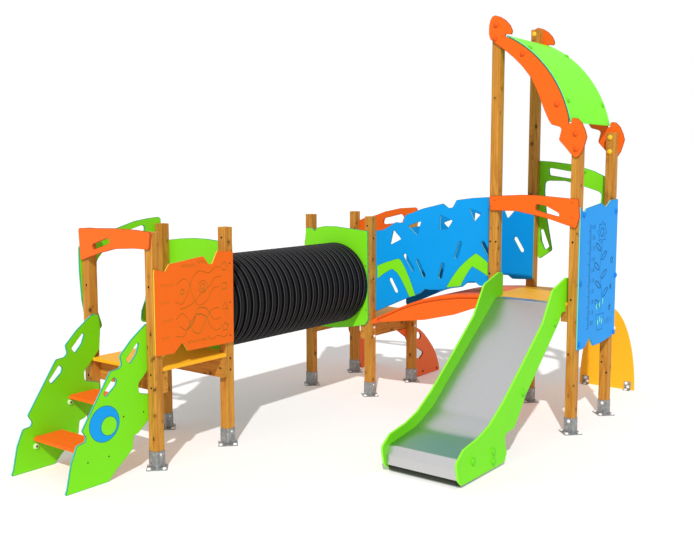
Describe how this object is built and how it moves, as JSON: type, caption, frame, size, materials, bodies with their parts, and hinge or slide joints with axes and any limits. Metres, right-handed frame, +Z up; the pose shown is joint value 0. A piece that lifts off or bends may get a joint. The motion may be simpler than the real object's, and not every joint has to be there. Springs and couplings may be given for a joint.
{
  "type": "multi-play structure",
  "caption": "Timber-framed playground tower group with stairs, crawl tunnel, arched bridge, climber, roofed slide tower and metal-bed slide.",
  "frame": {"origin": "on the ground, under the middle of post A, the nearest post of the stair tower", "axes": "+X from the tunnel towers to the slide tower, +Y from the stairs to the tunnel's far end, +Z up"},
  "size_m": [3.3344, 5.7526, 3.8519],
  "materials": {
    "timber": "clear-stained laminated softwood, satin",
    "galvanised": "hot-dip galvanised, dull grey",
    "steel": "stainless steel sheet, brushed",
    "green": "light green polyethylene sheet with a teal core, lightly textured",
    "orange": "orange polyethylene sheet with a yellow core, lightly textured",
    "red_orange": "red-orange polyethylene sheet, lightly textured",
    "blue": "blue polyethylene sheet with a pale green core, lightly textured",
    "yellow": "yellow polyethylene sheet, lightly textured",
    "black": "black moulded polyethylene, satin"
  },
  "bodies": {
    "root": {"post_a": "timber", "post_b": "timber", "post_c": "timber", "post_d": "timber", "post_e": "timber", "post_f": "timber", "post_g": "timber", "post_h": "timber", "post_i": "timber", "post_j": "timber", "post_k": "timber", "post_l": "timber", "foot_a": "galvanised", "foot_b": "galvanised", "foot_c": "galvanised", "foot_d": "galvanised", "foot_e": "galvanised", "foot_f": "galvanised", "foot_g": "galvanised", "foot_h": "galvanised", "foot_i": "galvanised", "foot_j": "galvanised", "foot_k": "galvanised", "foot_l": "galvanised", "tower_1_deck": "yellow", "tower_1_beam_front": "timber", "tower_1_beam_rear": "timber", "tower_1_handle_panel": "orange", "tower_1_play_panel": "orange", "tower_1_doorway_panel": "green", "tower_2_tunnel_panel": "green", "tower_1_tunnel_panel": "green", "tunnel": "black", "stair_plate_left": "green", "stair_plate_right": "green", "stair_tread_lower": "orange", "stair_tread_upper": "orange", "tower_2_deck": "yellow", "tower_2_beam_left": "timber", "tower_2_beam_right": "timber", "tower_2_handle_panel": "orange", "tower_2_barrier_panel": "orange", "climber_plate_right": "red_orange", "climber_plate_left": "red_orange", "bridge_deck": "orange", "bridge_panel_front": "blue", "bridge_panel_rear": "blue", "tower_3_deck": "yellow", "tower_3_beam_left": "timber", "tower_3_beam_right": "timber", "tower_3_handle_panel": "orange", "tower_3_side_panel": "blue", "tower_3_doorway_panel": "green", "rear_ramp": "yellow", "slide_wall_left": "green", "slide_wall_right": "green", "slide_bed": "steel", "roof_beam_front": "orange", "roof_beam_rear": "orange", "roof_sheet": "green"}
  },
  "joints": []
}
